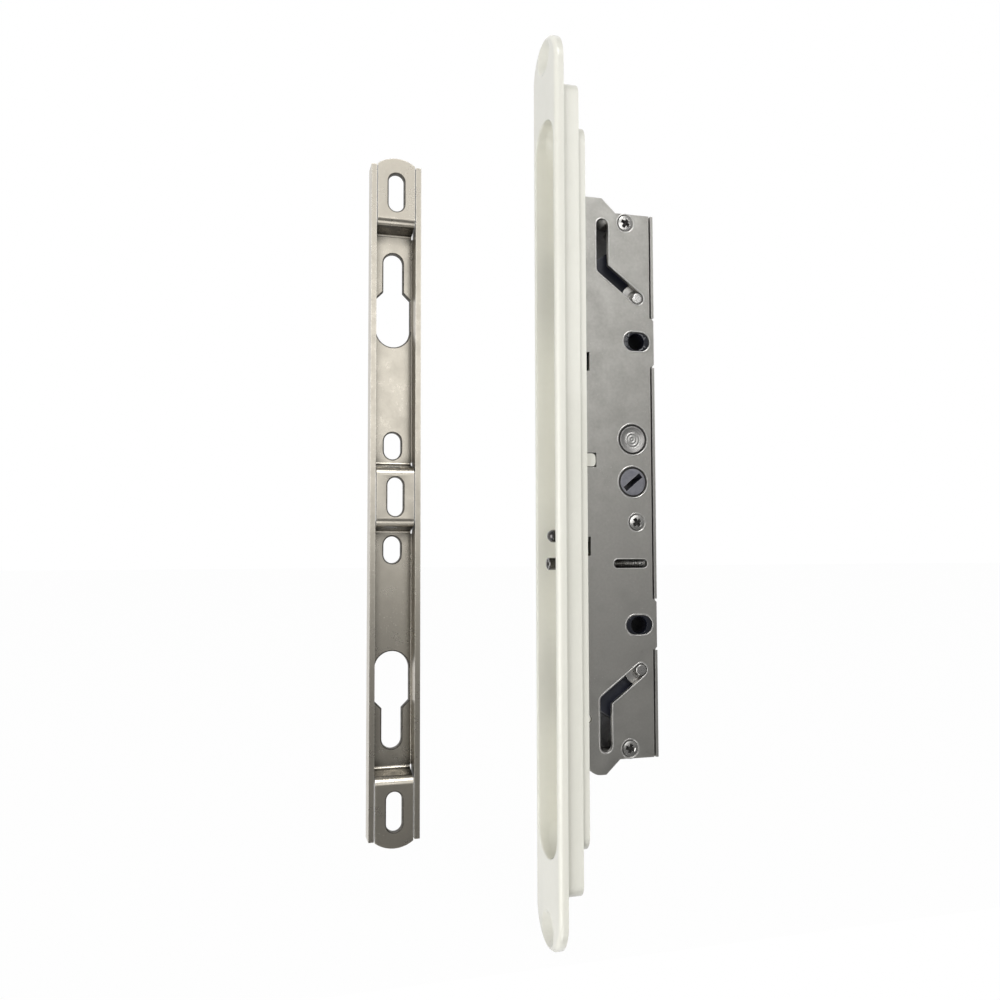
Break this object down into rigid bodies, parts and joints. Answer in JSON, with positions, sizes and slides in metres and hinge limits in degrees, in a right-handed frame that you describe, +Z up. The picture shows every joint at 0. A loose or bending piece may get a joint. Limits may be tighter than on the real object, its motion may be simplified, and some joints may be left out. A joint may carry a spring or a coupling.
{
  "type": "multipoint door lock",
  "caption": "Long mortise lock for a sliding door: hooked mushroom studs reach out of a recessed faceplate, drop or lift and draw in, with the channel-shaped keeper that they catch.",
  "frame": {"origin": "middle of the faceplate's back face, midway between its two screw holes, on the lock's middle plane and level with the hub", "axes": "+X into the door, +Y across the door from the cover's side to the tray's side, +Z up"},
  "size_m": [0.0969, 0.0456, 0.3204],
  "materials": {
    "cream_casting": "gloss powder coat",
    "case_steel": "satin stainless sheet",
    "keeper_steel": "matte stainless sheet",
    "hub_zinc": "matte plated zinc",
    "lever_steel": "satin",
    "bolt_zinc": "satin plated zinc",
    "stud_steel": "bright turned",
    "bright_screws": "bright nickel plate",
    "spring_wire": "drawn wire",
    "bar_plastic": "moulded",
    "bush_plastic": "gloss moulded",
    "nut_brass": "milled"
  },
  "bodies": {
    "lock_case": {"faceplate_casting": "cream_casting", "case_tray": "case_steel", "case_cover": "case_steel", "case_posts": "case_steel", "case_screws": "bright_screws", "faceplate_fixing_screws": "bright_screws", "handle_screw_bushes": "bush_plastic", "trigger_guide": "bar_plastic", "trigger_spring": "spring_wire", "adjuster_clip": "spring_wire", "keeper": "keeper_steel"},
    "hub_set": {"hub": "hub_zinc", "hub_lever": "lever_steel", "hub_drive_pin": "bright_screws"},
    "rocker_set": {"rocker": "case_steel", "rocker_lever": "lever_steel", "rocker_drive_pin": "bright_screws"},
    "upper_bar": {"upper_drive_bar": "bar_plastic"},
    "lower_bar": {"lower_drive_bar": "bar_plastic"},
    "upper_bolt": {"upper_bolt_slide": "bolt_zinc", "upper_stud": "stud_steel", "upper_guide_pin": "stud_steel"},
    "lower_bolt": {"lower_bolt_slide": "bolt_zinc", "lower_stud": "stud_steel", "lower_guide_pin": "stud_steel"},
    "trigger": {"trigger_plunger": "stud_steel"},
    "adjuster": {"adjuster_screw": "bright_screws"},
    "adjuster_slide": {"adjuster_nut": "nut_brass"}
  },
  "joints": [
    {"name": "hub_turn", "type": "hinge", "parent": "lock_case", "child": "hub_set", "pos_m": [0.0266, 0, 0], "axis": [0, -1, 0], "range_deg": [-0.02, 45.26]},
    {"name": "rocker_turn", "type": "hinge", "parent": "lock_case", "child": "rocker_set", "pos_m": [0.0266, 0, 0.01505], "axis": [0, -1, 0], "range_deg": [-45.26, 0.02]},
    {"name": "upper_bar_lift", "type": "slide", "parent": "lock_case", "child": "upper_bar", "axis": [0, 0, 1], "range_m": [0, 0.01]},
    {"name": "lower_bar_drop", "type": "slide", "parent": "lock_case", "child": "lower_bar", "axis": [0, 0, -1], "range_m": [-0.00001, 0.01001]},
    {"name": "upper_stud_throw", "type": "slide", "parent": "upper_bar", "child": "upper_bolt", "axis": [-1, 0, 0], "range_m": [-0.00001, 0.01321]},
    {"name": "lower_stud_throw", "type": "slide", "parent": "lower_bar", "child": "lower_bolt", "axis": [-1, 0, 0], "range_m": [-0.00001, 0.01321]},
    {"name": "trigger_press", "type": "slide", "parent": "lock_case", "child": "trigger", "axis": [1, 0, 0], "range_m": [0, 0.006], "stiffness_N_per_m": 150, "springref_m": -0.004, "deforming": ["trigger_spring"]},
    {"name": "adjuster_turn", "type": "hinge", "parent": "lock_case", "child": "adjuster", "pos_m": [0, 0, -0.0286], "axis": [1, 0, 0], "range_deg": [-720.2, 720.2]},
    {"name": "adjuster_nut_slide", "type": "slide", "parent": "lock_case", "child": "adjuster_slide", "axis": [-1, 0, 0], "range_m": [-0.0014, 0.0014]}
  ],
  "couplings": [
    {"joint": "hub_turn", "follows": "upper_bar_lift", "rad_per_m": 78.958},
    {"joint": "rocker_turn", "follows": "upper_bar_lift", "rad_per_m": -78.958},
    {"joint": "lower_bar_drop", "follows": "upper_bar_lift", "ratio": 1},
    {"joint": "upper_stud_throw", "follows": "upper_bar_lift", "ratio": 1.32},
    {"joint": "lower_stud_throw", "follows": "upper_bar_lift", "ratio": 1.32},
    {"joint": "adjuster_turn", "follows": "adjuster_nut_slide", "rad_per_m": 8976}
  ]
}
